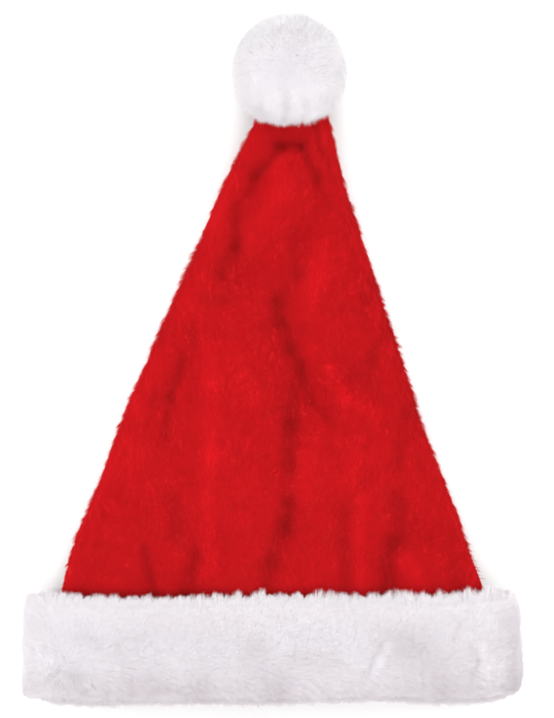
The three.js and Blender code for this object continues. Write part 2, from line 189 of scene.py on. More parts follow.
# The furrows and ridges of the upper layer, as the photograph shows them: where each starts and
# ends in its pixels, how wide it is there, how deep it is, and how much shade is painted in it. A
# ridge has negative ones: it is raised, and a highlight is painted on it.
FURROWS = (
    {"from": (276, 144), "to": (302, 144), "width": 6, "depth": 0.8, "shade": 0.75},
    {"from": (282, 147), "to": (254, 176), "width": 6, "depth": 0.8, "shade": 0.75},
    {"from": (254, 176), "to": (247, 194), "width": 7, "depth": 0.4, "shade": 0.35},
    {"from": (301, 147), "to": (318, 178), "width": 5, "depth": 0.7, "shade": 0.6},
    {"from": (318, 178), "to": (331, 206), "width": 6, "depth": 0.4, "shade": 0.35},
    {"from": (315, 122), "to": (320, 150), "width": 4, "depth": 0.4, "shade": 0.4},
    {"from": (324, 150), "to": (334, 180), "width": 4, "depth": 0.4, "shade": 0.3},
    {"from": (238, 206), "to": (237, 245), "width": 7, "depth": 0.8, "shade": 0.65},
    {"from": (237, 245), "to": (220, 270), "width": 9, "depth": 0.5, "shade": 0.45},
    {"from": (220, 270), "to": (226, 294), "width": 8, "depth": 0.3, "shade": 0.25},
    {"from": (204, 296), "to": (224, 299), "width": 6, "depth": 0.3, "shade": 0.3},
    {"from": (295, 228), "to": (298, 272), "width": 8, "depth": 0.4, "shade": 0.3},
    {"from": (292, 278), "to": (277, 300), "width": 10, "depth": 0.4, "shade": 0.3},
    {"from": (277, 300), "to": (277, 320), "width": 8, "depth": 0.8, "shade": 0.6},
    {"from": (284, 322), "to": (289, 348), "width": 8, "depth": 0.6, "shade": 0.5},
    {"from": (289, 348), "to": (300, 364), "width": 8, "depth": 0.8, "shade": 0.4},
    {"from": (300, 364), "to": (311, 398), "width": 7, "depth": 0.7, "shade": 0.35},
    {"from": (311, 398), "to": (324, 413), "width": 5, "depth": 0.5, "shade": 0.3},
    {"from": (297, 372), "to": (290, 420), "width": 10, "depth": 0.5, "shade": 0.45},
    {"from": (268, 408), "to": (290, 405), "width": 5, "depth": 0.3, "shade": 0.3},
    {"from": (290, 424), "to": (290, 462), "width": 9, "depth": 0.8, "shade": 0.6},
    {"from": (292, 462), "to": (290, 500), "width": 7, "depth": 0.5, "shade": 0.35},
    {"from": (291, 500), "to": (286, 526), "width": 9, "depth": 0.8, "shade": 0.6},
    {"from": (285, 522), "to": (271, 560), "width": 10, "depth": 0.6, "shade": 0.5},
    {"from": (271, 560), "to": (267, 592), "width": 9, "depth": 0.5, "shade": 0.4},
    {"from": (378, 343), "to": (371, 360), "width": 8, "depth": 0.8, "shade": 0.6},
    {"from": (358, 372), "to": (382, 396), "width": 10, "depth": 0.3, "shade": 0.3},
    {"from": (409, 418), "to": (397, 462), "width": 8, "depth": 0.7, "shade": 0.5},
    {"from": (395, 498), "to": (398, 540), "width": 11, "depth": 0.7, "shade": 0.5},
    {"from": (391, 542), "to": (386, 595), "width": 10, "depth": 1.0, "shade": 0.8},
    {"from": (343, 505), "to": (342, 595), "width": 8, "depth": 0.6, "shade": 0.4},
    {"from": (184, 358), "to": (170, 396), "width": 6, "depth": 0.8, "shade": 0.65},
    {"from": (170, 396), "to": (166, 432), "width": 6, "depth": 0.5, "shade": 0.4},
    {"from": (156, 384), "to": (148, 426), "width": 6, "depth": 0.3, "shade": 0.25},
    {"from": (192, 322), "to": (196, 350), "width": 6, "depth": 0.4, "shade": 0.3},
    {"from": (176, 498), "to": (178, 532), "width": 9, "depth": 0.4, "shade": 0.4},
    {"from": (144, 548), "to": (154, 595), "width": 6, "depth": 0.9, "shade": 0.6},
    {"from": (197, 553), "to": (184, 595), "width": 9, "depth": 0.9, "shade": 0.65},
    {"from": (101, 516), "to": (97, 562), "width": 9, "depth": 0.3, "shade": 0.2},
    {"from": (365, 294), "to": (366, 322), "width": 7, "depth": 0.5, "shade": 0.35},
    {"from": (455, 558), "to": (462, 595), "width": 11, "depth": 0.5, "shade": 0.35},
    {"from": (282, 164), "to": (282, 196), "width": 13, "depth": -0.8, "shade": -0.5},
    {"from": (322, 244), "to": (322, 276), "width": 10, "depth": -0.5, "shade": -0.7},
    {"from": (312, 285), "to": (312, 312), "width": 9, "depth": -0.4, "shade": -0.4},
    {"from": (213, 344), "to": (212, 450), "width": 10, "depth": -0.7, "shade": -0.5},
    {"from": (211, 450), "to": (207, 570), "width": 8, "depth": -0.7, "shade": -0.5},
    {"from": (236, 350), "to": (240, 378), "width": 13, "depth": -0.3, "shade": -0.25},
    {"from": (329, 368), "to": (346, 396), "width": 8, "depth": -0.5, "shade": -0.6},
    {"from": (346, 396), "to": (376, 412), "width": 8, "depth": -0.4, "shade": -0.5},
    {"from": (357, 438), "to": (354, 482), "width": 6, "depth": -0.5, "shade": -0.5},
    {"from": (362, 498), "to": (360, 592), "width": 7, "depth": -0.7, "shade": -0.5},
    {"from": (311, 438), "to": (305, 492), "width": 11, "depth": -0.4, "shade": -0.3},
    {"from": (376, 300), "to": (396, 346), "width": 5, "depth": -0.3, "shade": -0.6},
    {"from": (447, 470), "to": (461, 520), "width": 6, "depth": -0.3, "shade": -0.4},
    {"from": (470, 568), "to": (481, 592), "width": 6, "depth": -0.3, "shade": -0.5},
    {"from": (231, 180), "to": (214, 222), "width": 6, "depth": -0.3, "shade": -0.3},
    {"from": (404, 556), "to": (416, 582), "width": 9, "depth": -0.4, "shade": -0.4},
)


def merged_copy(node):
    """A CAD node's form as one closed bmesh, mostly of four-sided faces."""
    form = bmesh.new()
    form.from_mesh(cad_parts[node].data)
    bmesh.ops.remove_doubles(form, verts=form.verts, dist=SAME_CORNER)
    bmesh.ops.join_triangles(
        form, faces=form.faces, angle_face_threshold=FLAT_ENOUGH, angle_shape_threshold=SQUARE_ENOUGH,
    )
    return form


def object_of(name, form):
    """A shown object from a bmesh, with smooth shading."""
    mesh = bpy.data.meshes.new(name)
    form.to_mesh(mesh)
    form.free()
    mesh.shade_smooth()
    piece = bpy.data.objects.new(name, mesh)
    bpy.context.collection.objects.link(piece)
    return piece


def work_in(piece, kind, **settings):
    """Works one modifier into the piece's mesh."""
    modifier = piece.modifiers.new(kind.lower(), kind)
    for name, value in settings.items():
        setattr(modifier, name, value)
    depsgraph = bpy.context.evaluated_depsgraph_get()
    piece.data = bpy.data.meshes.new_from_object(piece.evaluated_get(depsgraph))
    piece.modifiers.clear()
    piece.data.name = piece.name
    piece.data.shade_smooth()


def read_points(mesh):
    """The mesh's points, one in each row."""
    points = np.empty(len(mesh.vertices) * 3, np.float32)
    mesh.vertices.foreach_get("co", points)
    return points.reshape(-1, 3).astype(float)


def read_normals(mesh):
    """Which way the surface faces at each of the mesh's points."""
    normals = np.empty(len(mesh.vertices) * 3, np.float32)
    mesh.vertex_normals.foreach_get("vector", normals)
    return normals.reshape(-1, 3).astype(float)


def write_points(mesh, points):
    """Puts the mesh's points in new places."""
    mesh.vertices.foreach_set("co", points.astype(np.float32).ravel())
    mesh.update()


# A look from a point starts this far off it, and meets no wall when none is nearer than this.
OFF_SURFACE = 0.0004
WIDEST_HOLLOW = 0.1


def in_the_open(piece):
    """Which points of a piece look away from it, and not into its own hollow."""
    surface_tree = BVHTree.FromObject(piece, bpy.context.evaluated_depsgraph_get())
    normals = read_normals(piece.data)
    starts = read_points(piece.data) + normals * OFF_SURFACE
    looks = zip(starts.tolist(), normals.tolist())
    return np.array([surface_tree.ray_cast(start, way, WIDEST_HOLLOW)[0] is None for start, way in looks])


NO_LENGTH = 1e-9  # a vector shorter than this stays as it is


def unit(vectors):
    """The vectors, each made one long."""
    return vectors / np.maximum(np.linalg.norm(vectors, axis=1), NO_LENGTH)[:, None]


def soft_step(value, start, end):
    """0 before the start, 1 after the end, and a soft rise between them."""
    share = np.clip((value - start) / (end - start), 0, 1)
    return share * share * (3 - 2 * share)


SEED_STEP = Vector((7.1, 3.7, 1.9))  # each seed looks at another part of the noise


def waves(points, size, seed):
    """Smooth noise of a given size at each point, from about -1 to 1."""
    shift = SEED_STEP * seed
    return np.array([noise.noise(Vector(place) + shift) for place in (points / size).tolist()])


def waves_of(points, layers):
    """Waves added up, from each layer's height, size and seed."""
    return sum(height * waves(points, size, seed) for height, size, seed in layers)


def toned(changes, where):
    """How bright blades are: each change of their tone, painted light and shade among them, as far as its
    place has them.
    """
    return sum(changes[place] * share for place, share in where.items())


def stroke_sums(points, strokes):
    """How deep the strokes drawn on the photograph make each point, and how much shade they paint on it,
    seen from above; a negative shade is a painted highlight.
    """
    depth = np.zeros(len(points))
    shade = np.zeros(len(points))
    for stroke in strokes:
        start = np.array(seen_at(*stroke["from"]))
        run = np.array(seen_at(*stroke["to"])) - start
        along = points[:, :2] - start
        share = np.clip(along @ run / (run @ run), 0, 1)
        away = np.linalg.norm(along - share[:, None] * run, axis=1)
        profile = np.exp(-(away / (stroke["width"] * PIXEL)) ** 2)
        depth += stroke["depth"] * profile
        shade += stroke["shade"] * profile
    return depth, shade


solid_points = read_points(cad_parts["crown"].data)
places = np.unique(solid_points[:, 1].round(5))
rings = [solid_points[np.abs(solid_points[:, 1] - place) < SAME_RING] for place in places]
ring_low = np.array([ring.min(axis=0) for ring in rings])
ring_high = np.array([ring.max(axis=0) for ring in rings])
cuff_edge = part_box("cuff")[1].y
pompom_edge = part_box("pompom")[0].y


def across_crown(points):
    """The lowest and the highest x and z of the crown's section at each point."""
    return (
        np.stack([np.interp(points[:, 1], places, ring[:, axis]) for axis in (0, 2)], axis=1)
        for ring in (ring_low, ring_high)
    )


def height_share(points, low, high):
    """How high each point lies in the crown's section there, from 0 to 1."""
    return (points[:, 2] - low[:, 1]) / (high[:, 1] - low[:, 1])


def crown_tone(points):
    """How bright the pile is, from 0 to 1: shade painted in the furrows of the upper layer and beside the
    cuff, a highlight painted on its ridges, and a mottle.
    """
    upper = soft_step(height_share(points, *across_crown(points)), 0.35, 0.7)
    # Shade painted in the furrows, and a weaker highlight painted on the ridges.
    shade = stroke_sums(points, FURROWS)[1] * upper
    shade = np.maximum(shade, RIDGE_HIGHLIGHT_SHARE * shade)
    # A shadow painted on the pile beside the cuff.
    painted_cuff_shadow = 1 - soft_step(points[:, 1] - cuff_edge, *CUFF_SHADOW)
    where = {"all over": 1, "painted furrow shade and ridge highlight": shade, "painted shadow by the cuff": painted_cuff_shadow}
    return toned(PILE_TONE, where) + waves_of(points, PILE_MOTTLE)


crown = object_of("crown_cloth", merged_copy("crown"))
work_in(crown, "SUBSURF", levels=SMOOTHING, render_levels=SMOOTHING)
points = read_points(crown.data)
normals = read_normals(crown.data)
low, high = across_crown(points)
from_middle = points[:, [0, 2]] - (low + high) / 2
outer = in_the_open(crown)
free = soft_step(points[:, 1], cuff_edge - UNDER_CUFF, cuff_edge + BESIDE_CUFF)
free *= 1 - soft_step(points[:, 1], pompom_edge, pompom_edge + BESIDE_POMPOM)
upper = soft_step(height_share(points, low, high), 0.35, 0.8) * free
points[:, 2] -= stroke_sums(points, FURROWS)[0] * FURROW_DEPTH * upper
wider = np.interp(points[:, 1], (cuff_edge, pompom_edge), (WIDER_AT_CUFF, WIDER_AT_TIP)) * free
points[:, 0] += from_middle[:, 0] / (high[:, 0] - low[:, 0]) * 2 * wider
for height, size, seed in SWELLS:
    swell = waves(points * SWELL_STRETCH, size, seed) * height * free
    points[:, [0, 2]] += unit(from_middle) * swell[:, None]
points -= normals * (outer * PILE_STAND)[:, None]
points[:, 2] = np.maximum(points[:, 2], 0.0)
write_points(crown.data, points)
# The cloth's tone carries the shade and highlights painted on the pile, and its mottle.
tone_layer = crown.data.attributes.new("tone", "FLOAT", "POINT")
tone_layer.data.foreach_set("value", crown_tone(points).astype(np.float32))

# The reds of the pile and its cloth run from dark to bright by tone, so they carry the painted shade and
# highlights as well as the mottle.
CLOTH_DARK_RED = "#781210"
CLOTH_BRIGHT_RED = "#D61F27"
DARK_RED = "#8C1512"
BRIGHT_RED = "#F0222C"
KNIT_RED = "#A3161A"
# A rib of real backing knit is about 0.8 mm wide. It is drawn half as wide again, so that it shows.
KNIT_RIB = 0.0012
# At a scale of 1, the wave pattern has a band, and the noise pattern a grain, as wide as this.
WAVE_BAND = 0.314
NOISE_GRAIN = 0.5

# The upper face of the plush is dyed polyester under its pile: matt, and as bright or dull as the
# pile that hides it, with the same painted shade and highlights, so that no other red shows between the
# blades.
plush = new_material("red_polyester_plush")
tree = plush.node_tree
own_tone = add_node(tree, "Attribute", attribute_name="tone")
ramp = add_node(tree, "ValToRGB", {"Fac": own_tone.outputs["Fac"]})
ramp.color_ramp.elements[0].color = to_linear(CLOTH_DARK_RED)
ramp.color_ramp.elements[1].color = to_linear(CLOTH_BRIGHT_RED)
cloth = add_node(tree, "BsdfPrincipled", {
    "Base Color": ramp.outputs["Color"], "Roughness": 0.95, "Specular IOR Level": 0.05,
})
add_node(tree, "OutputMaterial", {"Surface": cloth.outputs["BSDF"]})

# The back of the plush, inside the hat, is its bare knit: fine ribs along the hat, matt and duller
# than the pile, with a slight change of shade from the yarn.
knit = new_material("red_knit_backing")
tree = knit.node_tree
place = add_node(tree, "TexCoord").outputs["Object"]
ribs = add_node(tree, "TexWave", {
    "Vector": place, "Scale": WAVE_BAND / KNIT_RIB, "Distortion": 0.6, "Detail": 1.0, "Detail Scale": 2.0,
}, bands_direction="X")
yarn = add_node(tree, "TexNoise", {"Vector": place, "Scale": NOISE_GRAIN / KNIT_RIB, "Detail": 2.0})
worn = add_node(tree, "ValToRGB", {"Fac": yarn.outputs["Fac"]})
worn.color_ramp.elements[0].color = to_linear(DARK_RED)
worn.color_ramp.elements[1].color = to_linear(KNIT_RED)
relief = add_node(tree, "Bump", {"Height": ribs.outputs["Fac"], "Strength": 0.6, "Distance": KNIT_RIB / 4})
cloth = add_node(tree, "BsdfPrincipled", {
    "Base Color": worn.outputs["Color"], "Roughness": 0.95, "Specular IOR Level": 0.1,
    "Normal": relief.outputs["Normal"],
})
add_node(tree, "OutputMaterial", {"Surface": cloth.outputs["BSDF"]})
crown.data.materials.append(plush)
crown.data.materials.append(knit)
for face in crown.data.polygons:
    if not outer[list(face.vertices)].any():
        face.material_index = 1


def scatter(mesh, allowed, count, rng):
    """Points scattered evenly over the faces with two corners or more allowed, and their normals."""
    mesh.calc_loop_triangles()
    corners = np.empty(len(mesh.loop_triangles) * 3, np.int32)
    mesh.loop_triangles.foreach_get("vertices", corners)
    corners = corners.reshape(-1, 3)
    corners = corners[allowed[corners].sum(axis=1) > 1]
    points, normals = read_points(mesh), read_normals(mesh)
    a, b, c = (points[corners[:, i]] for i in range(3))
    area = np.linalg.norm(np.cross(b - a, c - a), axis=1)
    chosen = rng.choice(len(corners), count, p=area / area.sum())
    u, v = rng.random((2, count))
    u, v = np.where(u + v > 1, 1 - u, u), np.where(u + v > 1, 1 - v, v)
    weights = np.stack([1 - u - v, u, v], axis=1)[:, :, None]
    picked = corners[chosen]
    return (points[picked] * weights).sum(axis=1), unit((normals[picked] * weights).sum(axis=1))


# A blade's flat side turns a little to the light. Its length differs by this much from its kind's,
# a lock draws it in by this much of its pull, and their tips keep this share of their roots'
# distance. No blade lies lower over the floor than the last of these.
FACING = (0.0, 0.0, 0.8)
LENGTHS = (0.75, 1.1)
PULLS = (0.5, 1.0)
TIPS_APART = 0.2
LOWEST_BLADE = 0.0003
# In its own map a blade runs up from root to tip, lies across at its tone, and is this wide.
TONE_ENDS = (0.01, 0.99)
HALF_WIDTH_IN_MAP = 0.004


def strands(name, roots, normals, comb, tone, make, rng, share=1.0, looseness=1.0, gather=1.0):
    """Pile or fur as one mesh of thin blades, drawn together into locks, and these into tufts."""
    count = len(roots)
    length = make["length"] * share * rng.uniform(*LENGTHS, count)
    comb = comb - normals * np.sum(comb * normals, axis=1)[:, None]
    stray = rng.normal(0, make["stray"], (count, 3)) * np.reshape(looseness, (-1, 1))
    lie = unit(normals + comb * (1 + make["bend"]) + stray)
    tips = roots + lie * length[:, None]
    for per_lock, pull in make["locks"]:
        leaders = max(1, int(count / per_lock))
        leader_tree = kdtree.KDTree(leaders)
        for i, place in enumerate(roots[:leaders].tolist()):
            leader_tree.insert(place, i)
        leader_tree.balance()
        leader = np.array([leader_tree.find(place)[1] for place in roots.tolist()])
        drawn = (pull * gather * rng.uniform(*PULLS, count))[:, None]
        tips += drawn * (tips[leader] + TIPS_APART * (roots - roots[leader]) - tips)

    along = unit(tips - roots)
    side = np.cross(along, normals + FACING) + rng.normal(0, make["turn"], (count, 3))
    half = unit(side - along * np.sum(side * along, axis=1)[:, None]) * (make["width"] / 2)
    corners = np.stack([roots - half, roots + half, tips], axis=1)
    corners[:, :, 2] = np.maximum(corners[:, :, 2], LOWEST_BLADE)
    flat = unit(np.cross(corners[:, 1] - corners[:, 0], corners[:, 2] - corners[:, 0]))
    turned = np.sum(flat * normals, axis=1) < 0
    corners[turned] = corners[turned][:, [1, 0, 2]]
    flat[turned] *= -1
    # Light falls on them mostly as on the surface under them, since real fibres are round and finer.
    shown = unit(normals * make["even"] + flat * (1 - make["even"]))

    mesh = bpy.data.meshes.new(name)
    mesh.vertices.add(count * 3)
    mesh.vertices.foreach_set("co", corners.astype(np.float32).ravel())
    mesh.loops.add(count * 3)
    mesh.loops.foreach_set("vertex_index", np.arange(count * 3, dtype=np.int32))
    mesh.polygons.add(count)
    mesh.polygons.foreach_set("loop_start", np.arange(0, count * 3, 3, dtype=np.int32))
    tones = np.clip(tone + rng.normal(0, make["tone_spread"], count), *TONE_ENDS)
    along_uv = np.tile([0.0, 0.0, 1.0], count)
    across_uv = np.repeat(tones, 3) + np.tile([-HALF_WIDTH_IN_MAP, HALF_WIDTH_IN_MAP, 0.0], count)
    layer = mesh.uv_layers.new(name="OFBake")
    layer.uv.foreach_set("vector", np.stack([along_uv, across_uv], axis=1).astype(np.float32).ravel())
    mesh.update(calc_edges=True)
    mesh.shade_smooth()
    mesh.normals_split_custom_set_from_vertices(np.repeat(shown, 3, axis=0).tolist())
    piece = bpy.data.objects.new(name, mesh)
    bpy.context.collection.objects.link(piece)
    return piece


def strand_material(name, colours, painted_root_shade, softness):
    """The finish of strands: their colour goes by each one's tone, which carries painted light and shade,
    and has shade painted towards the roots.
    """
    material = new_material(name)
    tree = material.node_tree
    own = add_node(tree, "UVMap", uv_map="OFBake")
    parts = add_node(tree, "SeparateXYZ", {"Vector": own.outputs["UV"]})
    length = add_node(tree, "ValToRGB", {"Fac": parts.outputs["X"]})
    length.color_ramp.elements[0].color = to_linear(painted_root_shade)
    length.color_ramp.elements[1].color = (1, 1, 1, 1)
    tone = add_node(tree, "ValToRGB", {"Fac": parts.outputs["Y"]})
    stops = tone.color_ramp.elements
    for place, _ in colours[1:-1]:
        stops.new(place)
    for stop, (_, colour) in zip(stops, colours):
        stop.color = to_linear(colour)
    own_colour = add_node(tree, "Mix", {"Factor": 1.0}, data_type="RGBA", blend_type="MULTIPLY")
    tree.links.new(length.outputs["Color"], own_colour.inputs["A"])
    tree.links.new(tone.outputs["Color"], own_colour.inputs["B"])
    near = add_node(tree, "BsdfPrincipled", {"Roughness": 0.9, "Specular IOR Level": 0.05})
    through = add_node(tree, "BsdfTranslucent")
    tree.links.new(own_colour.outputs["Result"], near.inputs["Base Color"])
    tree.links.new(own_colour.outputs["Result"], through.inputs["Color"])
    both = add_node(tree, "MixShader", {
        "Fac": softness, 1: near.outputs["BSDF"], 2: through.outputs["BSDF"],
    })
    add_node(tree, "OutputMaterial", {"Surface": both.outputs["Shader"]})
    return material


SEED = 24
UPPER_BLADES = 190000
UNDER_BLADES = 40000
# How far the pile goes on under the cuff and the pompom, and how far each side's pile goes round
# the edge of the crown.
PILE_HIDDEN = 0.012
ROUND_THE_EDGE = 0.3
# The pile is brushed towards the cuff, in swirls of this size, and stands in tufts at the edge.
SWIRL_SIZE = 0.03
SWIRL_ALONG = 0.5
BRUSHED_DOWN = 0.75
BRUSHING = 2
TUFT_SIZE = 0.003
TUFT_HEIGHT = 0.9
# Shade painted on the pile underneath, and light painted on its left edge.
SIDE_TONE = {"painted shade underneath": -0.18, "painted light on the left edge": 0.1}
# One blade: its length and width, how far it strays, how much further it leans and how far it turns
# round itself, how many make a lock and how hard that pulls, how far tones spread, and how much of
# the light falls on it as on the surface under it.
PILE = {
    "length": 0.0036, "width": 0.00032, "stray": 0.10, "bend": 0.15, "turn": 0.05,
    "locks": ((8, 0.05),), "tone_spread": 0.01, "even": 0.85,
}
rng = np.random.default_rng(SEED)
covered = (points[:, 1] > cuff_edge - PILE_HIDDEN) & (points[:, 1] < pompom_edge + PILE_HIDDEN)
normals = read_normals(crown.data)
# The pile is cut polyester yarn, dyed through and thin enough for light to pass, so it looks deep
# and soft and has no gloss. A little shade is painted towards its roots.
red_strands = strand_material("red_polyester_pile", ((0, DARK_RED), (1, BRIGHT_RED)), "#E8E8E8", 0.5)
upper_side = outer & covered & (normals[:, 2] > -ROUND_THE_EDGE)
under_side = outer & covered & (normals[:, 2] < 0)
for name, allowed, count in (
    ("crown_pile_upper", upper_side, UPPER_BLADES),
    ("crown_pile_under", under_side, UNDER_BLADES),
):
    roots, normals = scatter(crown.data, allowed, count, rng)
    across = waves(roots, SWIRL_SIZE, 11)
    along = waves(roots, SWIRL_SIZE, 12) * SWIRL_ALONG - BRUSHED_DOWN
    swirl = np.stack([across, along, np.zeros(count)], axis=1)
    sideways = soft_step(1 - np.abs(normals[:, 2]), 0.3, 0.9)
    # The pile's tone, with shade painted underneath and light painted on the left edge.
    tone = crown_tone(roots) + toned(SIDE_TONE, {
        "painted shade underneath": soft_step(-normals[:, 2], 0.3, 0.9),
        "painted light on the left edge": soft_step(-normals[:, 0], 0.15, 0.6) * (normals[:, 2] > 0),
    })
    tufts = 1 + TUFT_HEIGHT * sideways * waves(roots, TUFT_SIZE, 13)
    pile = strands(name, roots, normals, swirl * BRUSHING, tone, PILE, rng, tufts)
    pile.data.materials.append(red_strands)
    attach(pile, "root")
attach(crown, "root")
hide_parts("crown")

# The cuff is a strip of long white fur cloth, folded double round the mouth, so it is soft and
# plump. Its fur is brushed from the rim up towards the crown, and stands over the red there.
CUFF_VOXEL = 0.0032
CUFF_PASSES = 14
SMOOTH_FACTOR = 0.5
# How far the backing lies below the outline of its fur, how high it lies where that is pressed on
# the floor, and how long its round ends are.
CUFF_FUR_STAND = 0.0036
PRESSED_FUR = 0.001
BAND_END = 0.03
# Where the backing ends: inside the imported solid's box at its ends, and along its upper edge and
# its rim as in the photograph, in pixels; and its corners' radii.
LEFT_INSET = 0.0014
RIGHT_INSET = 0.0020
RIM_LONGER = 0.0012
EDGES_X = (24, 60, 120, 200, 280, 360, 440, 480, 520)
UPPER_EDGE_Y = (597, 600, 602, 601, 599, 600, 599, 598, 594)
RIM_EDGE_Y = (696, 698, 698, 696, 696, 693, 696, 696, 695)
LEFT_CORNER = 0.0035
RIGHT_CORNER = 0.0075
SLOTS = 60  # how many places along the band its edges are measured at
# Where the fur lies a little deeper, and where shade is painted on it, as the photograph shows it,
# in its pixels. A negative row raises the fur and paints a highlight on it.
PARTINGS = (
    {"from": (66, 692), "to": (150, 690), "width": 9, "depth": 0.1, "shade": 0.25},
    {"from": (136, 672), "to": (196, 686), "width": 12, "depth": 0.2, "shade": 0.3},
    {"from": (118, 642), "to": (132, 682), "width": 6, "depth": 0.25, "shade": 0.25},
    {"from": (250, 652), "to": (272, 674), "width": 17, "depth": 0.3, "shade": 0.5},
    {"from": (292, 657), "to": (328, 656), "width": 10, "depth": 0.3, "shade": 0.35},
    {"from": (392, 652), "to": (452, 662), "width": 22, "depth": 0.4, "shade": 0.45},
    {"from": (400, 640), "to": (440, 684), "width": 12, "depth": 0.2, "shade": 0.2},
    {"from": (360, 670), "to": (376, 642), "width": 3, "depth": 0.35, "shade": 0.35},
    {"from": (366, 672), "to": (384, 642), "width": 4, "depth": -0.3, "shade": -0.3},
    {"from": (464, 672), "to": (472, 656), "width": 3, "depth": 0.35, "shade": 0.35},
    {"from": (472, 656), "to": (464, 644), "width": 3.5, "depth": 0.5, "shade": 0.3},
    {"from": (480, 668), "to": (476, 650), "width": 4, "depth": -0.3, "shade": -0.25},
    {"from": (448, 636), "to": (456, 622), "width": 3.5, "depth": 0.4, "shade": 0.25},
    {"from": (508, 644), "to": (510, 686), "width": 12, "depth": 0.2, "shade": 0.6},
    {"from": (200, 690), "to": (300, 690), "width": 8, "depth": 0.0, "shade": 0.25},
    {"from": (320, 690), "to": (480, 690), "width": 8, "depth": 0.0, "shade": 0.25},
)
PARTING_DEPTH = 0.0022
# The way that the fur lies, turning from out over the rim, through along the cuff, to up over the
# red: places from the rim, -1, to the upper edge, 1, and the angle from +X there.
COMB_PLACES = (-1, -0.75, -0.3, 0.3, 1)
COMB_ANGLES = (-80, -50, 15, 60, 90)
COMB_PIXELS_X = (34, 96)
# At the left end it stands off all round one place, and is looser and shorter there.
WHIRL_PIXEL = (50, 656)
WHIRL_RADIUS = 0.018
WHIRL_LOOSER = 2
WHIRL_SHORTER = 0.45
COMBING = 1.2
FAN_AT_ENDS = 0.6
# The waves in the fur's way, in radians, and in its length, each with its height, size and seed.
TURN_WAVES = ((0.25, 0.03, 21), (0.25, 0.012, 22))
LENGTH_WAVES = ((0.3, 0.004, 26),)
SIDE_SHORTER = 0.35
GATHER_AT_EDGES = 1.2
# How much longer the fur is over the red, in tufts.
OVER_RED = 0.35
OVER_RED_WAVES = ((1.1, 0.0035, 25),)
OVER_RED_MOST = 0.85
# How bright the fur is, from 0 to 1, and how that changes over the band and where it turns away:
# shade painted near the rim, near the red, at the ends, underneath and in the partings, and light
# painted on the whirl, round the rim and on the faces that turn away.
CUFF_TONE = {
    "all over": 0.61, "whirl": 0.13, "painted shade near the rim": -0.33, "painted shade near the red": -0.05, "painted shade at the left end": -0.02,
    "painted shade at the right end": -0.15, "painted light round the rim": 0.12, "painted light on the rim's face": 0.5, "painted light on the face to the red": 0.2,
    "painted light on the ends' faces": 0.25, "painted shade underneath": -0.15, "painted shade": -0.33,
}
CUFF_MOTTLE = ((0.03, 0.02, 24),)
# How many blades each area has, and at what shares of its half height the areas part.
CUFF_BLADES = {
    "cuff_underfur": 170000, "cuff_guard_fur": 190000, "cuff_fur_under": 48000, "cuff_fur_inside": 12000,
}
ABOVE_FROM = 0.3
BELOW_TO = 0.4
# The two kinds of hair, each value meant as the pile's: long guard hair, and shorter underfur.
GUARD_FUR = {
    "length": 0.0058, "width": 0.00030, "stray": 0.26, "bend": 0.2, "turn": 0.15,
    "locks": ((9, 0.25), (150, 0.22)), "tone_spread": 0.04, "even": 0.55,
}
UNDERFUR = dict(GUARD_FUR, length=0.0040, width=0.00032)
KNIT_SHADE = "#EAE6EB"
KNIT_WHITE = "#F7F5F8"
# The fur's whites by tone: the lower, lilac grey stops carry the painted shade as well as the mottle.
FUR_WHITES = ((0, "#D0CACD"), (0.44, "#E5E1E4"), (0.62, "#EAE8EA"), (1, "#FCFAFC"))

# The ground of the fur cloth is a fine white knit, matt, of which a little shows between the hairs.
backing_white = new_material("white_fur_backing")
tree = backing_white.node_tree
place = add_node(tree, "TexCoord").outputs["Object"]
yarn = add_node(tree, "TexNoise", {"Vector": place, "Scale": NOISE_GRAIN / KNIT_RIB, "Detail": 2.0})
worn = add_node(tree, "ValToRGB", {"Fac": yarn.outputs["Fac"]})
worn.color_ramp.elements[0].color = to_linear(KNIT_SHADE)
worn.color_ramp.elements[1].color = to_linear(KNIT_WHITE)
relief = add_node(tree, "Bump", {"Height": yarn.outputs["Fac"], "Strength": 0.5, "Distance": KNIT_RIB / 4})
cloth = add_node(tree, "BsdfPrincipled", {
    "Base Color": worn.outputs["Color"], "Roughness": 0.95, "Normal": relief.outputs["Normal"],
})
add_node(tree, "OutputMaterial", {"Surface": cloth.outputs["BSDF"]})


def backing_of(name, node, voxel, passes):
    """The form under the fur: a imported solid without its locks, even all over."""
    piece = object_of(name, merged_copy(node))
    work_in(piece, "REMESH", mode="VOXEL", voxel_size=voxel)
    form = bmesh.new()
    form.from_mesh(piece.data)
    for _ in range(passes):
        bmesh.ops.smooth_vert(
            form, verts=form.verts, factor=SMOOTH_FACTOR, use_axis_x=True, use_axis_y=True, use_axis_z=True,
        )
    form.to_mesh(piece.data)
    form.free()
    piece.data.shade_smooth()
    piece.data.materials.append(backing_white)
    return piece


cuff = backing_of("cuff_band", "cuff", CUFF_VOXEL, CUFF_PASSES)
cuff_low, cuff_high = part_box("cuff")
cuff_middle = (cuff_low + cuff_high) / 2
mouth_half = (cuff_high.x - cuff_low.x) / 2 - BAND_END


def from_band(points):
    """How each point lies from the middle of the flattened band, seen along the hat."""
    nearest = np.clip(points[:, 0], cuff_middle.x - mouth_half, cuff_middle.x + mouth_half)
    return np.stack([points[:, 0] - nearest, np.zeros(len(points)), points[:, 2] - cuff_middle.z], axis=1)


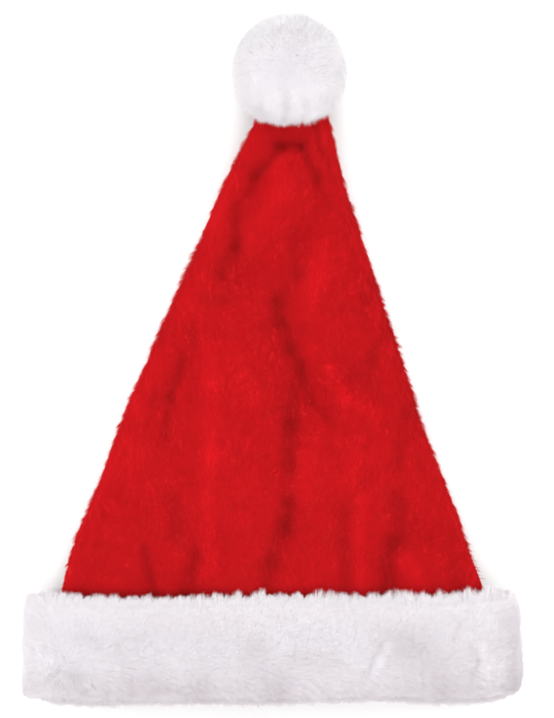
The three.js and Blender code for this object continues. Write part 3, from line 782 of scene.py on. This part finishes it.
def drawn_out(points):
    """The band's points from above, drawn out to straight edges and small corners."""
    x, y = points[:, 0], points[:, 1]
    share = (x - x.min()) / (x.max() - x.min())
    slot = np.round(share * SLOTS).astype(int)
    edges = np.array([(y[slot == i].min(), y[slot == i].max()) for i in range(SLOTS + 1)])
    steps = np.linspace(0, 1, SLOTS + 1)
    y_low, y_high = (np.interp(share, steps, edges[:, side]) for side in (0, 1))
    start = cuff_low.x + LEFT_INSET
    end = cuff_high.x - RIGHT_INSET - RIM_LONGER * (y - cuff_middle.y) / (cuff_high.y - cuff_middle.y)
    new_x = start + share * (end - start)
    inset = np.zeros(len(points))
    for depth, radius in ((new_x - start, LEFT_CORNER), (end - new_x, RIGHT_CORNER)):
        into = np.clip(radius - depth, 0, radius)
        inset += radius - np.sqrt(radius ** 2 - into ** 2)
    edges_x = seen_at(np.array(EDGES_X), 0)[0]
    new_low = seen_at(0, np.interp(new_x, edges_x, RIM_EDGE_Y))[1] + inset
    new_high = seen_at(0, np.interp(new_x, edges_x, UPPER_EDGE_Y))[1] - inset
    return np.stack([new_x, new_low + (y - y_low) / (y_high - y_low) * (new_high - new_low)], axis=1)


points = read_points(cuff.data)
normals = read_normals(cuff.data)
outward = np.sum(unit(from_band(points)) * normals, axis=1)
points -= normals * (soft_step(outward, -0.2, 0.4) * CUFF_FUR_STAND)[:, None]
points[:, :2] = drawn_out(points)
upper = soft_step(normals[:, 2], 0.2, 0.7) * soft_step(points[:, 2], cuff_middle.z, cuff_middle.z * 1.4)
points[:, 2] -= stroke_sums(points, PARTINGS)[0] * PARTING_DEPTH * upper
points[:, 2] = np.maximum(points[:, 2], PRESSED_FUR)
write_points(cuff.data, points)

# The fur is long polyester hair, brushed and unglazed. Light goes into it and on from hair to hair,
# so it looks soft and a cool white. Shade is painted in its partings, and faintly towards its roots.
white_strands = strand_material("long_white_fur", FUR_WHITES, "#F8F8F8", 0.5)
outer = in_the_open(cuff)
points = read_points(cuff.data)
above = points[:, 2] > cuff_middle.z * ABOVE_FROM
below = points[:, 2] < cuff_middle.z * BELOW_TO
inside = ~outer & (points[:, 1] < cuff_middle.y)
for name, allowed, make in (
    ("cuff_underfur", outer & above, UNDERFUR),
    ("cuff_guard_fur", outer & above, GUARD_FUR),
    ("cuff_fur_under", outer & below, GUARD_FUR),
    ("cuff_fur_inside", inside, UNDERFUR),
):
    roots, normals = scatter(cuff.data, allowed, CUFF_BLADES[name], rng)
    up = (roots[:, 1] - cuff_middle.y) / (cuff_high.y - cuff_middle.y)
    turn = np.radians(np.interp(up, COMB_PLACES, COMB_ANGLES))
    turn += waves_of(roots, TURN_WAVES)
    aside = soft_step(roots[:, 0], *(seen_at(pixel_x, 0)[0] for pixel_x in COMB_PIXELS_X))
    out = from_band(roots)[:, 0] / BAND_END
    across = np.cos(turn) * COMBING * aside + out * FAN_AT_ENDS
    comb = np.stack([across, np.sin(turn) * COMBING, 0 * up], axis=1)
    whirl = np.exp(-(np.linalg.norm(roots[:, :2] - seen_at(*WHIRL_PIXEL), axis=1) / WHIRL_RADIUS) ** 2)
    face = 1 - soft_step(normals[:, 2], 0.0, 0.35)
    # Shade and light painted on the fur, each by its place.
    where = {
        "all over": 1,
        "whirl": whirl,
        "painted shade near the rim": soft_step(-up, 0.2, 0.9),
        "painted shade near the red": soft_step(up, 0.1, 0.6),
        "painted shade at the left end": soft_step(-normals[:, 0], 0.1, 0.6),
        "painted shade at the right end": soft_step(normals[:, 0], 0.1, 0.6),
        "painted light round the rim": soft_step(-normals[:, 1], 0.4, 0.8),
        "painted light on the rim's face": soft_step(-normals[:, 1], 0.5, 0.9) * face,
        "painted light on the face to the red": soft_step(normals[:, 1], 0.6, 0.95) * face,
        "painted light on the ends' faces": soft_step(np.abs(normals[:, 0]), 0.75, 0.98) * face,
        "painted shade underneath": soft_step(-normals[:, 2], 0.3, 0.9),
    }
    # Shade painted in the partings, on all but the fur below the band.
    if name != "cuff_fur_under":
        where["painted shade"] = stroke_sums(roots, PARTINGS)[1]
    tone = toned(CUFF_TONE, where) + waves_of(roots, CUFF_MOTTLE)
    sideways = soft_step(1 - np.abs(normals[:, 2]), 0.2, 0.9) * (normals[:, 1] < 0.5)
    longer = np.minimum(OVER_RED + waves_of(roots, OVER_RED_WAVES), OVER_RED_MOST)
    over_red = soft_step(up, 0.75, 0.95) * longer
    share = 1 - SIDE_SHORTER * sideways + over_red + waves_of(roots, LENGTH_WAVES)
    share *= 1 - WHIRL_SHORTER * whirl
    gather = 1 + GATHER_AT_EDGES * np.maximum(sideways, soft_step(up, 0.7, 0.95))
    looseness = 1 + WHIRL_LOOSER * whirl
    fur = strands(name, roots, normals, comb, tone, make, rng, share, looseness, gather)
    fur.data.materials.append(white_strands)
    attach(fur, "root")
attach(cuff, "root")
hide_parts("cuff")

# The pompom is a ball of the same fur, drawn together over a little stuffing and sewn on over the
# crown's tip.
BALL_VOXEL = 0.003
BALL_PASSES = 9
BALL_FUR_STAND = 0.0008
BALL_SHIFT = (0.0001, -0.0018)
BALL_BLADES = 160000
# Its fur ends over the red at this row of the photograph's pixels, in waves, and is combed that
# way, more so near there, where it is longer, calmer and drawn together.
BALL_HEM = 129
HEM_WAVE = 0.006
HEM_WAVE_SIZE = 0.003
COMBED_DOWN = 0.3
DRAWN_IN = 1.2
SHORTEST_SHARE = 0.3
LONGER_AT_HEM = 0.3
CALMER_AT_HEM = 0.4
GATHER_AT_HEM = 4.5
# The waves in its way and in its length, each with its height, size and seeds. It is shorter on
# top, and where it points straight up it is also looser.
BALL_WAY_WAVES = ((0.15, 0.026, (31, 32, 33)), (0.15, 0.010, (35, 36, 37)))
BALL_LENGTH_WAVES = ((0.15, 0.004, 39),)
SHORTER_ON_TOP = 0.25
SHORTER_AT_POLE = 0.15
LOOSER_AT_POLE = 0.3
# How bright the ball's fur is, from 0 to 1: light painted on top, and shade painted on its near and far
# sides, at its pole and in its partings.
BALL_TONE = {"all over": 0.84, "painted light on top": 0.1, "painted shade on near and far sides": -0.12, "pole": -0.05, "painted shade": -0.5}
BALL_MOTTLE = ((0.04, 0.02, 34),)
POMPOM_FUR = dict(GUARD_FUR, length=0.0072, stray=0.65, locks=((9, 0.08), (150, 0.03)), even=0.7)
# Where shade is painted on the ball's fur, where it is a little duller in the photograph.
BALL_PARTINGS = (
    {"from": (286, 98), "to": (285, 118), "width": 3, "depth": 0.0, "shade": 0.4},
    {"from": (304, 100), "to": (305, 118), "width": 3, "depth": 0.0, "shade": 0.3},
    {"from": (262, 104), "to": (270, 120), "width": 4, "depth": 0.0, "shade": 0.3},
    {"from": (262, 120), "to": (316, 121), "width": 5, "depth": 0.0, "shade": 0.4},
)
pompom = backing_of("pompom_ball", "pompom", BALL_VOXEL, BALL_PASSES)
points = read_points(pompom.data)
points -= read_normals(pompom.data) * BALL_FUR_STAND
points[:, :2] += BALL_SHIFT
points[:, 2] = np.maximum(points[:, 2], PRESSED_FUR)
write_points(pompom.data, points)

roots, normals = scatter(pompom.data, in_the_open(pompom), BALL_BLADES, rng)
way = sum(
    height * np.stack([waves(roots, size, seed) for seed in seeds], axis=1)
    for height, size, seeds in BALL_WAY_WAVES
)
low_side = soft_step(-normals[:, 1], -0.1, 1.0)
comb = way - (0.0, COMBED_DOWN, 0.0) - np.outer(DRAWN_IN * low_side, (0.0, 1.0, 0.0))
pole = soft_step(unit(normals + comb * (1 + POMPOM_FUR["bend"]))[:, 2], 0.8, 1.0)
hem = seen_at(0, BALL_HEM)[1] + HEM_WAVE * waves(roots, HEM_WAVE_SIZE, 38) * low_side
longest = 1 + LONGER_AT_HEM * low_side
share = np.clip((roots[:, 1] - hem) / POMPOM_FUR["length"], SHORTEST_SHARE, longest)
shorter_on_top = SHORTER_ON_TOP * soft_step(normals[:, 2], 0.2, 1.0)
share *= 1 + waves_of(roots, BALL_LENGTH_WAVES) - shorter_on_top - SHORTER_AT_POLE * pole
# The ball's tone, with light and shade painted by place, and a mottle.
tone = waves_of(roots, BALL_MOTTLE) + toned(BALL_TONE, {
    "all over": 1,
    "painted light on top": soft_step(normals[:, 2], 0.1, 0.9),
    "painted shade on near and far sides": soft_step(np.abs(normals[:, 1]), 0.2, 0.7),
    "pole": pole,
    "painted shade": stroke_sums(roots, BALL_PARTINGS)[1],
})
gather = 1 + GATHER_AT_HEM * low_side ** 2
looseness = (1 - CALMER_AT_HEM * low_side) * (1 + LOOSER_AT_POLE * pole)
fur = strands("pompom_fur", roots, normals, comb, tone, POMPOM_FUR, rng, share, looseness, gather)
fur.data.materials.append(white_strands)
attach(fur, "root")
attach(pompom, "root")
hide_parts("pompom")
